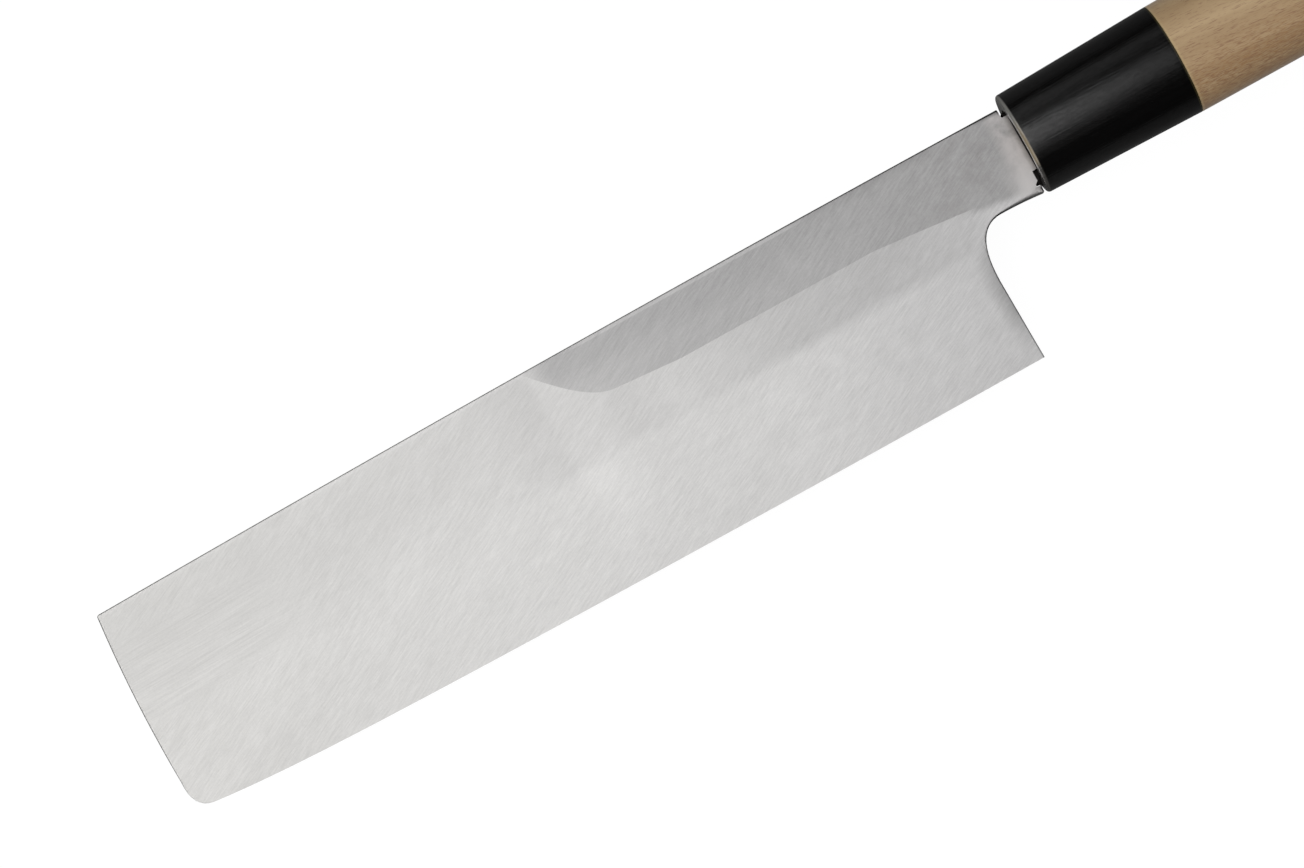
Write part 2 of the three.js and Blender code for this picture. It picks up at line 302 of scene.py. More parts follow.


# Which rims are rounded, and the painted shade on them: how fast each darkens over its rounded corner,
# and soft painted shade inside some. Runs are as above, apart from those that are marked as heights.
rimsAndShade = {
    "spacing": 0.1,  # of the points that stand for a rim
    "machiMargin": 0.3,  # the machi is neither rounded nor shaded between its foot and its head
    "footMargin": 0.4,
    "heel": (2.0, 1.1),  # from the choil down to the edge
    "heelMargin": 0.5,
    "bend": (2.0, 2.4),  # up the choil's bend
    "bendRun": (-16.0, -12.0),  # heights
    "bendTop": -10.0,
    "neck": 2.0,
    "neckTop": -5.0,
    "neckMost": (0.8, 0.4),  # how dark it gets, less towards the machi
    "neckRun": (-9.0, -2.0),
    "tip": 0.1,
    "tipWidth": 4.0,
    "spine": (0.2, 1.3),  # more towards the hand
    "spineRun": (105.0, 170.0),
    "spineGain": 0.9,  # and most above the heel
    "spineGainRun": (165.0, 190.0),
    "softSpine": 0.2,  # soft painted shade below the spine
    "softSpineWidth": 1.6,
    "softSpineRun": (-48.0, -36.0),
    "softSpineEndRun": (-24.0, -12.0),
    "softHeel": 0.38,  # soft painted shade before the heel and the choil
    "softHeelWidth": 3.6,
    "softHeelReach": 6.0,
    "softHeelRun": (-36.0, -26.0),  # heights, as the next runs are
    "softBend": (1.0, 0.6),
    "softBendRun": (-22.0, -14.0),
    "softEndRun": (-15.0, -12.0),
}


def rimShadeSpeed(x, y):  # painted shade: how fast a rim darkens, and how far
    choilEnd = heelX + blade["choilReach"]
    fromTip = x - tipX
    if x > heelX - rimsAndShade["heelMargin"] and y < choilLevel:
        return lerp(*rimsAndShade["heel"], (choilLevel - y) / (choilLevel - edgeY(x))), 1.0
    if heelX - rimsAndShade["heelMargin"] < x < choilEnd and y < rimsAndShade["bendTop"]:
        return lerp(*rimsAndShade["bend"], passed(y, rimsAndShade["bendRun"])), 1.0
    if x > choilEnd and y < rimsAndShade["neckTop"]:
        return rimsAndShade["neck"], lerp(*rimsAndShade["neckMost"], passed(x, rimsAndShade["neckRun"]))
    if fromTip < rimsAndShade["tipWidth"]:
        return rimsAndShade["tip"], 1.0
    gain = rimsAndShade["spineGain"] * eased(fromTip, rimsAndShade["spineGainRun"])
    return lerp(*rimsAndShade["spine"], eased(fromTip, rimsAndShade["spineRun"])) + gain, 1.0


def softRimShade(x, y):  # share and width in mm of the soft painted shade inside a rim
    if y >= rimsAndShade["softEndRun"][1]:
        share = rimsAndShade["softSpine"] * eased(x, rimsAndShade["softSpineRun"])
        return share * (1 - eased(x, rimsAndShade["softSpineEndRun"])), rimsAndShade["softSpineWidth"]
    if x <= heelX - rimsAndShade["softHeelReach"]:
        return 0.0, 1.0
    share = rimsAndShade["softHeel"] * passed(y, rimsAndShade["softHeelRun"])
    share *= lerp(*rimsAndShade["softBend"], passed(y, rimsAndShade["softBendRun"]))
    return share * (1 - eased(y, rimsAndShade["softEndRun"])), rimsAndShade["softHeelWidth"]


def neckGrow(x, y):  # the neck's edges grow rounder towards the machi, the lower one most
    if y >= blade["neckMiddle"]:
        return lerp(*blade["upperRound"], passed(x, blade["upperRoundRun"]))
    less = blade["choilRound"] * (1 - passed(x, blade["choilRoundRun"]))
    return lerp(*blade["lowerRound"], passed(x, blade["lowerRoundRun"])) - less


def frontZ(x, y):
    drop = spineY(x) - y
    flat = shinogiDrop(x)
    thick = thicknessAt(x)
    if drop <= flat:
        return backZ + thick
    height = spineY(x) - edgeY(x)
    lift = blade["kneeRise"] * eased(x - tipX, blade["kneeRun"])
    if drop < blade["kneeDrop"]:
        lift *= (drop - flat) / (blade["kneeDrop"] - flat)
    else:
        lift *= (height - drop) / (height - blade["kneeDrop"])
    ground = lerp(thick, blade["edgeThickness"], (drop - flat) / (height - flat)) + lift
    return backZ + lerp(ground, thick, runOut(x))


def hollowZ(x, y):
    inside = clamp(min(x - tipX - blade["hollowTipMargin"],
                       heelX - blade["hollowHeelMargin"] - x) / blade["hollowFade"])
    share = math.sqrt(inside * (2 - inside))
    half = ((spineY(x) - edgeY(x)) / 2 - blade["hollowRim"]) * lerp(blade["hollowLeast"], 1, share)
    across = (y - (spineY(x) + edgeY(x)) / 2) / half
    return backZ + blade["hollowDepth"] * share * max(0.0, 1 - across * across)


def curve(start, pull, end, share):  # quadratic curve, as the CAD outline has
    near = (1 - share) ** 2
    far = share ** 2
    both = 2 * share * (1 - share)
    return tuple(near * a + both * b + far * c for a, b, c in zip(start, pull, end))


cornerY = edgeY(tipX)
cornerTop = cornerY + blade["tipCornerRise"]
cornerEnd = tipX + blade["tipCorner"]
rims = [0.0, 0.04, 0.1, 0.19, 0.31, 0.37]  # rows close to a rounded corner, in mm from it


def tipLineX(y):  # the bowed tip line above its lower corner, with a small round at the spine
    top = blade["spineRise"] - blade["tipEase"]
    corner = tipX + blade["tipRake"]
    if y > top:
        share = math.sqrt(max(0.0, blade["spineRise"] - y) / blade["tipEase"])
        return corner + blade["tipEase"] * (1 - share) ** 2
    share = (top - y) / (top - cornerTop)
    return curve((corner, 0), (tipX, 0), (tipX + blade["tipFoot"], 0), share)[0]


flatShares = [0.037, 0.05] + [i / 6 for i in range(1, 7)]  # the first two bound the painted glint below the spine
flatRows = len(rims) + len(flatShares) + 1  # rows on the flat, the shinogi included
bandSteps = 7  # from the shinogi to the knee
lowSteps = 6  # from the knee to the choil's level


def upperRows(x, lower, grow=1.0):  # heights from the spine to the choil's level or the neck's lower edge
    spine = spineY(x)
    flat = shinogiDrop(x)
    last = spine - lower
    low = last - rims[-1] * grow
    fine = 0.1  # keeps the shinogi crisp under smooth shading
    drops = rims + [lerp(rims[-1], flat - fine, share) for share in flatShares] + [flat]
    knee = blade["kneeDrop"]
    soft = 1.2  # half width of the rounded knee
    if last < knee + 2:  # the neck is narrower than the knee is deep
        knee = lerp(flat, low, 0.5)
        soft = 0.1 * (low - flat)
    drops += [lerp(flat + fine, knee - soft, i / bandSteps) for i in range(bandSteps + 1)]
    drops += [lerp(knee + soft, low, i / lowSteps) for i in range(lowSteps + 1)]
    drops += [last - step * grow for step in reversed(rims[:-1])]
    return [spine - drop for drop in drops]


def choilY(x):  # lower outline of the neck
    share = math.sqrt(clamp((x - heelX) / blade["choilReach"]))
    choilEnd = heelX + blade["choilReach"]
    flare = blade["neckFlare"] * max(0.0, (x - choilEnd) / -choilEnd) ** 2
    return neckBottom - blade["choilDrop"] * (1 - share) ** 2 - flare


def bladeGrid():
    steps = 12  # round the lower corner of the tip, and as many from the choil's level down to it
    corner = []  # share of the way down to the edge, and x
    for i in range(steps + 1):
        x, y = curve((tipX + blade["tipFoot"], cornerTop), (tipX, cornerY),
                     (cornerEnd, edgeY(cornerEnd)), i / steps)
        corner.append(((y - choilLevel) / (edgeY(x) - choilLevel), x))
    lowerShares = [corner[0][0] * i / steps for i in range(1, steps)] + [share for share, x in corner]
    cornerX = [None] * (steps - 1) + [x for share, x in corner]
    upperCount = len(upperRows(tipX, choilLevel))

    def rowY(row, x):
        if row < upperCount:
            return upperRows(x, choilLevel)[row]
        return lerp(choilLevel, edgeY(x), lowerShares[row - upperCount])

    shares = [i / blade["columns"] for i in range(1, blade["columns"])]
    rows = []
    for row in range(upperCount + len(lowerShares)):
        start = cornerX[row - upperCount] if row >= upperCount else None
        if start is None:
            start = tipX
            for step in range(6):  # closes in on the tip line
                start = tipLineX(rowY(row, start))
        end = heelX
        if row >= upperCount:  # the heel leans out on its way down to the edge
            end += blade["heelRake"] * lowerShares[row - upperCount]
        xs = [start + rim for rim in rims]
        xs += [lerp(start + rims[-1], end - rims[-1], share) for share in shares]
        xs += [end - rim for rim in reversed(rims)]
        rows.append([(x, rowY(row, x)) for x in xs])

    bend, straight = blade["bendColumns"], blade["neckColumns"]
    neckXs = [heelX + blade["choilReach"] * (i / bend) ** 2 for i in range(1, bend + 1)]
    neckXs += [lerp(neckXs[-1], -rims[-1], i / straight) for i in range(1, straight + 1)]
    neckXs += [-rim for rim in reversed(rims[:-1])]
    neck = [[] for row in range(upperCount)]
    for x in neckXs:
        for row, y in enumerate(upperRows(x, choilY(x), neckGrow(x, neckBottom))):
            lean = lerp(*blade["machiLean"], (y - neckBottom) / blade["neckHeight"])
            neck[row].append((x + lean * passed(x, blade["leanRun"]), y))
    for row in range(upperCount):
        rows[row] += neck[row]
    return rows, upperCount


def bladeRims(rows, upperCount, index, plan):  # the outline's corners, and close points on its rubbed rims
    wide = len(rows[-1])  # columns from the tip to the heel
    longest = len(rows[0])
    last = len(rows) - 1
    ring = [(0, column) for column in range(longest)]
    ring += [(row, longest - 1) for row in range(1, upperCount)]
    ring += [(upperCount - 1, column) for column in range(longest - 2, wide - 2, -1)]
    ring += [(row, wide - 1) for row in range(upperCount, last + 1)]
    edgeStart = len(ring)
    ring += [(last, column) for column in range(wide - 2, -1, -1)]
    edgeEnd = len(ring)
    ring += [(row, 0) for row in range(last - 1, 0, -1)]
    loop = [index[place] for place in ring]
    chain = plan[loop[edgeEnd:] + loop[:edgeStart]]  # every rim but the cutting edge
    run = np.append(0, np.cumsum(np.hypot(*np.diff(chain, axis=0).T)))
    places = np.union1d(run, np.arange(0, run[-1], rimsAndShade["spacing"]))
    rubbed = np.column_stack([np.interp(places, run, side) for side in chain.T])
    x, y = rubbed.T
    foot = neckBottom + rimsAndShade["footMargin"]
    head = blade["spineRise"] - rimsAndShade["machiMargin"]
    onMachi = (x > -rimsAndShade["machiMargin"]) & (y > foot) & (y < head)
    return loop, rubbed[~onMachi]


def setZones(mesh, index, points, near, easing):  # how dull the ground face is, and the painted shade on the rims
    zone = [0.0] * (2 * len(points))
    for (row, column), corner in index.items():
        x, y = points[corner]
        if row < flatRows and shinogiDrop(x) > tone["leastFlat"]:
            zone[corner] = flatTone(x, y) - (paintedSpineGlint(x) if row <= len(rims) else 0.0)
        elif spineY(x) - y < blade["kneeDrop"]:
            below = spineY(x) - y - shinogiDrop(x)  # a soft line on the neck
            soft = eased(x, tone["neckRun"]) * (1 - eased(below, (0, tone["neckSoft"])))
            zone[corner] = lerp(lerp(bandTone(x), tone["neck"], runOut(x)), flatTone(x, y), soft)
        else:
            zone[corner] = tone["neck"] * runOut(x)
    mesh.attributes.new("flatZone", "FLOAT", "POINT").data.foreach_set("value", zone)
    speed, most = np.array([rimShadeSpeed(x, y) for x, y in points]).T
    dark = np.clip((1 - near / easing) * speed, 0, most)
    share, width = np.array([softRimShade(x, y) for x, y in points]).T
    dark = np.maximum(dark, share * np.clip(1 - near / width, 0, 1))
    both = np.concatenate((dark, dark))  # front and back
    mesh.attributes.new("paintedRimShade", "FLOAT", "POINT").data.foreach_set("value", both)


def bladeMesh():
    rows, upperCount = bladeGrid()
    index = {}
    points = []
    for row, line in enumerate(rows):
        for column, point in enumerate(line):
            index[row, column] = len(points)
            points.append(point)
    count = len(points)
    plan = np.array(points)
    loop, rubbed = bladeRims(rows, upperCount, index, plan)
    near = np.array([np.min(np.hypot(*(rubbed - point).T)) for point in plan])
    front = np.array([frontZ(x, y) for x, y in points])
    back = np.array([hollowZ(x, y) for x, y in points])
    easing = blade["easing"] * np.array([neckGrow(x, y) for x, y in points])
    radius = np.minimum(easing, blade["easingShare"] * (front - back))
    inside = np.clip(radius - near, 0, None)
    drop = radius - np.sqrt(np.clip(radius ** 2 - inside ** 2, 0, None))
    front -= drop
    back += drop

    faces = []
    for row, column in index:
        around = ((row + 1, column), (row + 1, column + 1), (row, column + 1))
        beside = [index.get(place) for place in around]
        if None not in beside:
            quad = [index[row, column]] + beside
            faces.append(quad)
            faces.append([corner + count for corner in reversed(quad)])
    for a, b in zip(loop, loop[1:] + loop[:1]):
        faces.append([a, b, b + count, a + count])
    solid = [(x, y, z) for (x, y), z in zip(points, front)]
    solid += [(x, y, z) for (x, y), z in zip(points, back)]
    mesh = meshFrom("blade", solid, faces)
    setZones(mesh, index, points, near, easing)
    return mesh


def boxMesh(name, ends):  # tapering bar between two sections [x, low y, high y, half thickness]
    points = []
    for x, low, high, side in ends:
        points += [(x, low, -side), (x, high, -side), (x, high, side), (x, low, side)]
    faces = [(3, 2, 1, 0), (4, 5, 6, 7)]
    faces += [(i, (i + 1) % 4, (i + 1) % 4 + 4, i + 4) for i in range(4)]
    return meshFrom(name, points, faces)


def prismMesh(name, outline, half):  # anticlockwise outline in x and y, as thick as twice half
    count = len(outline)
    points = [(x, y, side) for side in (-half, half) for x, y in outline]
    faces = [tuple(reversed(range(count))), tuple(range(count, 2 * count))]
    faces += [(i, (i + 1) % count, (i + 1) % count + count, i + count) for i in range(count)]
    return meshFrom(name, points, faces)


def tangMesh(start, end, spare):
    ends = []
    for x in (start, end):
        share = x / tang["length"]
        half = lerp(tang["height"], tang["endHeight"], share) / 2 + spare
        side = lerp(tang["thickness"], tang["endThickness"], share) / 2 + spare
        ends.append((x, tang["rise"] - half, tang["rise"] + half, side))
    return boxMesh("tang", ends)


# Slanting notch in the lower shoulder, where the resin was squeezed out, and two small cut corners
notch = {
    "depth": 0.6,
    "top": 2.1,
    "slant": 0.5,
    "lip": 1.1,
    "corner": 0.25,
    "clear": 3.0,  # how far the cut goes on past the machi
    "spare": 0.1,  # how far a cut starts outside the metal
    "hair": 0.02,  # keeps the notch off the rest of the machi
    "half": 4.0,  # half the width of every cut
}
notchLow = neckBottom + notch["lip"]
notchTop = neckBottom + notch["top"]


def notchX(y):  # left side of the notch
    return -notch["depth"] * clamp((notchTop - y) / notch["slant"])


def cutOutlines():
    depth, corner, clear = notch["depth"], notch["corner"], notch["clear"]
    spare, hair = notch["spare"], notch["hair"]
    root = tangBottom + spare
    top = blade["spineRise"] + spare
    foot = neckBottom - blade["neckFlare"] - spare
    return (
        ((-depth, notchLow), (clear, notchLow), (clear, root), (hair, root), (hair, notchTop),
         (-depth, notchTop - notch["slant"])),
        ((spare, top - 3 * corner), (spare, top), (-corner, top)),
        ((-corner, foot), (2 * corner, foot), (2 * corner, foot + 2.5 * corner)))


bladePiece = newObject("blade", bladeMesh())
for outline in cutOutlines():
    combine(bladePiece, newObject("cut", prismMesh("cut", outline, notch["half"])), "DIFFERENCE")
combine(bladePiece, newObject("tang", tangMesh(-tang["root"], tang["length"], 0)), "UNION")
smoothFaces(bladePiece, 32)
for polygon in bladePiece.data.polygons:  # the machi and the tang stay flat
    if polygon.normal.dot(alongX) > 0.8 or (polygon.center - origin).dot(alongX) > 0.4 * mm:
        polygon.use_smooth = False
for vertex, zone in zip(bladePiece.data.vertices, bladePiece.data.attributes["flatZone"].data):
    place = vertex.co - origin
    if place.dot(alongX) > -1 * mm:  # joining and cutting left new corners here
        zone.value = 1.0 if place.dot(acrossY) > notchLow * mm else tone["neck"]
print("blade:", len(bladePiece.data.polygons), "faces")

# Horn ferrule and wooden grip: tapering ovals with rounded rims, made by one node tree
oval = {
    "front": (20.63, 18.4),  # height and thickness
    "collar": (22.42, 20.2),
    "butt": (24.0, 21.6),
    "frontRound": 0.6,
    "collarRound": 0.12,
    "buttRound": 1.6,
    "noseRadius": 7.3,
    "noseRecess": 0.05,
    "noseSpare": 0.02,  # room round the nose and round the tang
    "socketSpare": 0.3,
    "mouthRise": 0.43,  # the horn's mouth stands a little proud of the wood
    "cutPast": 3.0,  # how far the cutting bars reach past the piece
    "sides": 128,
    "rings": 60,
    "rimShare": 0.2,
}
ferruleX = machiGap
hornX = ferruleX - oval["mouthRise"]
collarX = reach("ferrule")[1] - machi
buttX = -machi


def ovalTree():
    tree = bpy.data.node_groups.new("taperedOval", "GeometryNodeTree")
    asked = {
        "Float": ("Start", "Length", "Front Height", "Front Thickness", "Back Height", "Back Thickness",
                  "Front Round", "Back Round"),
        "Int": ("Sides", "Rings"),
        "Material": ("Finish",),
    }
    for kind, names in asked.items():
        for name in names:
            tree.interface.new_socket(name, in_out="INPUT", socket_type="NodeSocket" + kind)
    tree.interface.new_socket("Geometry", in_out="OUTPUT", socket_type="NodeSocketGeometry")
    given = addNode(tree, "NodeGroupInput")
    bar = addNode(tree, "GeometryNodeMeshCylinder", {
        "Vertices": given["Sides"], "Side Segments": given["Rings"], "Radius": 1.0, "Depth": 1.0})
    where = addNode(tree, "ShaderNodeSeparateXYZ", [addNode(tree, "GeometryNodeInputPosition")[0]])
    share = addNode(tree, "ShaderNodeMath", [where["Z"], 0.5], operation="ADD")[0]
    rest = addNode(tree, "ShaderNodeMath", [1.0, share], operation="SUBTRACT")[0]
    rim = oval["rimShare"]
    turns = []
    for end in (share, rest):  # quarter turn over the rounded rim at either end
        turns.append(addNode(tree, "ShaderNodeMapRange", [end, 0.0, rim, 0.0, math.pi / 2])[0])
    middle = addNode(tree, "ShaderNodeMapRange", [share, rim, 1 - rim])[0]
    insets = []
    for turn, radius in zip(turns, ("Front Round", "Back Round")):
        sine = addNode(tree, "ShaderNodeMath", [turn], operation="SINE")[0]
        left = addNode(tree, "ShaderNodeMath", [1.0, sine], operation="SUBTRACT")[0]
        insets.append(addNode(tree, "ShaderNodeMath", [left, given[radius]], operation="MULTIPLY")[0])
    inset = addNode(tree, "ShaderNodeMath", insets, operation="ADD")[0]
    cosines = [addNode(tree, "ShaderNodeMath", [turn], operation="COSINE")[0] for turn in turns]
    frontLeft = addNode(tree, "ShaderNodeMath", [1.0, cosines[0]], operation="SUBTRACT")[0]
    frontPart = addNode(tree, "ShaderNodeMath", [frontLeft, given["Front Round"]], operation="MULTIPLY")[0]
    backPart = addNode(tree, "ShaderNodeMath", [cosines[1], given["Back Round"]], operation="MULTIPLY")[0]
    rounds = addNode(tree, "ShaderNodeMath", [
        given["Front Round"], given["Back Round"]], operation="ADD")[0]
    straight = addNode(tree, "ShaderNodeMath", [given["Length"], rounds], operation="SUBTRACT")[0]
    run = addNode(tree, "ShaderNodeMath", [middle, straight, frontPart], operation="MULTIPLY_ADD")[0]
    run = addNode(tree, "ShaderNodeMath", [run, backPart], operation="ADD")[0]
    along = addNode(tree, "ShaderNodeMath", [run, given["Length"]], operation="DIVIDE")[0]
    sides = []
    for size, side in (("Height", where["X"]), ("Thickness", where["Y"])):
        wide = addNode(tree, "ShaderNodeMapRange", [
            along, 0.0, 1.0, given["Front " + size], given["Back " + size]])[0]
        half = addNode(tree, "ShaderNodeMath", [wide, 0.5], operation="MULTIPLY")[0]
        half = addNode(tree, "ShaderNodeMath", [half, inset], operation="SUBTRACT")[0]
        sides.append(addNode(tree, "ShaderNodeMath", [side, half], operation="MULTIPLY")[0])
    reached = addNode(tree, "ShaderNodeMath", [run, given["Start"]], operation="ADD")[0]
    place = addNode(tree, "ShaderNodeCombineXYZ", {"X": reached, "Y": sides[0], "Z": sides[1]})
    shape = addNode(tree, "GeometryNodeSetPosition", {"Geometry": bar["Mesh"], "Position": place[0]})[0]
    shape = addNode(tree, "GeometryNodeRealizeInstances", [shape])[0]
    shape = addNode(tree, "GeometryNodeSetMaterial", {"Geometry": shape, "Material": given["Finish"]})[0]
    addNode(tree, "NodeGroupOutput", [shape])
    return tree


def ovalPiece(name, tree, finish, start, end, front, back, frontRound, backRound):
    piece = newObject(name, bpy.data.meshes.new(name))
    modifier = piece.modifiers.new("taperedOval", "NODES")
    modifier.node_group = tree
    sizes = {
        "Start": start, "Length": end - start, "Front Height": front[0], "Front Thickness": front[1],
        "Back Height": back[0], "Back Thickness": back[1], "Front Round": frontRound,
        "Back Round": backRound, "Sides": oval["sides"], "Rings": oval["rings"], "Finish": finish}
    for item in tree.interface.items_tree:
        if item.in_out == "INPUT":
            modifier[item.identifier] = sizes[item.name]
    settle(piece)
    piece.data.transform(toRow)
    outward(piece.data)
    return piece


def outward(mesh):
    shell = bmesh.new()
    shell.from_mesh(mesh)
    bmesh.ops.remove_doubles(shell, verts=shell.verts, dist=1e-7)
    bmesh.ops.recalc_face_normals(shell, faces=shell.faces)
    shell.to_mesh(mesh)
    shell.free()


def roundBar(start, end, radius):
    bar = bmesh.new()
    upright = Matrix.Rotation(math.pi / 2, 4, "Y")
    centre = Matrix.Translation(((start + end) / 2, 0, 0))
    bmesh.ops.create_cone(bar, cap_ends=True, segments=oval["sides"], radius1=radius, radius2=radius,
                          depth=end - start, matrix=toRow @ centre @ upright)
    mesh = bpy.data.meshes.new("bar")
    bar.to_mesh(mesh)
    bar.free()
    outward(mesh)
    return newObject("bar", mesh)


# Materials. Each reads the knife's own frame in mm, so every pattern is written in mm.
def knifeSpace(tree):
    coords = addNode(tree, "ShaderNodeTexCoord")["Object"]
    return addNode(tree, "ShaderNodeMapping", {
        "Vector": coords, "Location": origin, "Rotation": turned.to_euler(), "Scale": (mm, mm, mm)},
        vector_type="TEXTURE")[0]


def newMaterial(name):
    material = bpy.data.materials.new(name)
    material.use_nodes = True
    return material, material.node_tree, material.node_tree.nodes["Principled BSDF"]


steelLook = {
    # The bevel's tip, middle and heel colours are painted light and shade: lighter over the middle, darker
    # towards the heel, after the soft box's reflection
    "tipBevel": ("#c2c1bf", "#d4d3d1"),
    "midBevel": ("#d3d2d1", "#e5e4e3"),
    "heelBevel": ("#c9c8c8", "#dbdada"),
    "blends": ((-185.0, -60.0), (-60.0, -15.0)),  # where one passes into the next
    "levels": (1.03, 0.94),  # painted shade: the bevel is a little darker below the spine
    "levelRun": (-18.0, 0.0),  # heights
    "flat": ("#9f9e9e", "#b3b2b2"),
    "contrast": 0.45,  # a smaller number makes the scratches stand out more
    # painted shade on the rounded rims
    "rim": "#2b2a29",
    "stain": "#898685",
    "machi": "#cbc7c6",  # cleaner metal, where the file passed last
    "lowMachi": "#d3d0cf",
    "tang": "#4f4741",  # browned where it goes into the handle, with painted shade at the mouth
    # where each of these four begins and is full, from the machi, and how strong it gets
    "zones": {
        "stain": (-30.0, -8.0, 0.4),
        "machi": (-4.0, -1.8, 0.9),
        "lowMachi": (-6.0, -2.0, 0.7),
        "tang": (0.0, 1.2, 0.6),
    },
    "blotch": 4.0,  # size in mm
    "blotchRange": (0.42, 0.68),
    "leastClean": 0.2,
    "lowMachiRun": (-6.0, 1.0),  # heights
    "grainAngle": 26.6,  # degrees from the blade's length
    "tipGrainAngle": 1.5,
    "tipGrainRun": (25.2, 42.0),  # mm from the tip where it gives way to the other
    "tipGrainHeight": -6.5,  # middle of its patch
    "tipGrainFade": (6.0, 10.0),  # above and below that
    # length, width and turn of the scratches; the finest are really finer, and drawn about a pixel wide
    "slanted": ((3.2, 0.22, -3), (6.0, 0.5, 3), (30.0, 6.0, 0)),
    "lengthwise": ((8.0, 0.25, -2), (16.0, 0.6, 2), (60.0, 5.0, 0)),
    "through": 40.0,  # long enough to be the same through the blade's thickness
    "speck": 0.35,
    "weights": (1.6, 1.1, 0.55, 0.6),  # of the three scratch sizes and the specks
    "roughness": (0.4, 0.5),
    "scratchDepth": 0.01,
}


def scratchFields(tree, space, where):  # noise drawn out along the scratches, fine to coarse, then specks
    streaks = []
    for angle, sizes in ((steelLook["grainAngle"], steelLook["slanted"]),
                         (steelLook["tipGrainAngle"], steelLook["lengthwise"])):
        layers = []
        for length, width, turn in sizes:
            lines = addNode(tree, "ShaderNodeMapping", {
                "Vector": space, "Rotation": (0, 0, math.radians(angle + turn)),
                "Scale": (length, width, steelLook["through"])}, vector_type="TEXTURE")[0]
            layers.append(addNode(tree, "ShaderNodeTexNoise", {
                "Vector": lines, "Scale": 1.0, "Detail": 2.0, "Roughness": 0.6})[0])
        streaks.append(layers)
    # the lengthwise scratches are a patch by the tip, below the spine
    start, end = steelLook["tipGrainRun"]
    toTip = addNode(tree, "ShaderNodeMapRange", [where["X"], tipX + start, tipX + end, 1.0, 0.0])[0]
    off = addNode(tree, "ShaderNodeMath", [
        where["Y"], steelLook["tipGrainHeight"]], operation="SUBTRACT")[0]
    off = addNode(tree, "ShaderNodeMath", [off], operation="ABSOLUTE")[0]
    inPatch = addNode(tree, "ShaderNodeMapRange", [off, *steelLook["tipGrainFade"], 1.0, 0.0])[0]
    toTip = addNode(tree, "ShaderNodeMath", [toTip, inPatch], operation="MULTIPLY")[0]
    fields = []
    for slanted, level in zip(*streaks):
        fields.append(addNode(tree, "ShaderNodeMix", {
            0: toTip, 2: slanted, 3: level}, data_type="FLOAT")[0])
    fields.append(addNode(tree, "ShaderNodeTexNoise", {
        "Vector": space, "Scale": 1 / steelLook["speck"], "Detail": 1.0})[0])
    return fields


def groundColour(tree, where, zone, fields):  # bevel and flat, streaked by the scratches
    streak = 0.0
    for field, weight in zip(fields, steelLook["weights"]):
        streak = addNode(tree, "ShaderNodeMath", [field, weight, streak], operation="MULTIPLY_ADD")[0]
    middle = sum(steelLook["weights"]) / 2
    streak = addNode(tree, "ShaderNodeMapRange", [
        streak, middle - steelLook["contrast"], middle + steelLook["contrast"]])[0]
    shades = []
    for finish in ("tipBevel", "midBevel", "heelBevel", "flat"):
        dark, light = steelLook[finish]
        shades.append(addNode(tree, "ShaderNodeMix", {
            0: streak, 6: hexColour(dark), 7: hexColour(light)}, data_type="RGBA")[2])
    # painted light and shade along the bevel: lighter over the middle, darker towards the heel
    bevel = shades[0]
    for ends, shade in zip(steelLook["blends"], shades[1:3]):
        share = addNode(tree, "ShaderNodeMapRange", [where["X"], *ends])[0]
        bevel = addNode(tree, "ShaderNodeMix", {0: share, 6: bevel, 7: shade}, data_type="RGBA")[2]
    # painted shade: darker below the spine
    level = addNode(tree, "ShaderNodeMapRange", [
        where["Y"], *steelLook["levelRun"], *steelLook["levels"]])[0]
    bevel = addNode(tree, "ShaderNodeMix", {
        0: 1.0, 6: bevel, 7: level}, data_type="RGBA", blend_type="MULTIPLY")[2]
    return addNode(tree, "ShaderNodeMix", {0: zone, 6: bevel, 7: shades[3]}, data_type="RGBA")[2]


def handledColour(tree, space, where, zone, colour):  # blotches on the neck, a cleaner end by the machi
    blotch = addNode(tree, "ShaderNodeTexNoise", {
        "Vector": space, "Scale": 1 / steelLook["blotch"], "Detail": 4.0, "Roughness": 0.65})[0]
    blotch = addNode(tree, "ShaderNodeMapRange", [blotch, *steelLook["blotchRange"]])[0]
    clean = addNode(tree, "ShaderNodeMapRange", [blotch, 0.0, 1.0, 1.0, steelLook["leastClean"]])[0]
    low = addNode(tree, "ShaderNodeMapRange", [where["Y"], *steelLook["lowMachiRun"], 1.0, 0.0])[0]
    for finish, field in (("stain", blotch), ("machi", clean), ("lowMachi", low), ("tang", 1.0)):
        start, full, share = steelLook["zones"][finish]
        near = addNode(tree, "ShaderNodeMapRange", [where["X"], start, full, 0.0, share])[0]
        near = addNode(tree, "ShaderNodeMath", [near, field], operation="MULTIPLY")[0]
        if finish in ("stain", "machi"):
            near = addNode(tree, "ShaderNodeMath", [near, zone], operation="MULTIPLY")[0]
        colour = addNode(tree, "ShaderNodeMix", {
            0: near, 6: colour, 7: hexColour(steelLook[finish])}, data_type="RGBA")[2]
    return colour


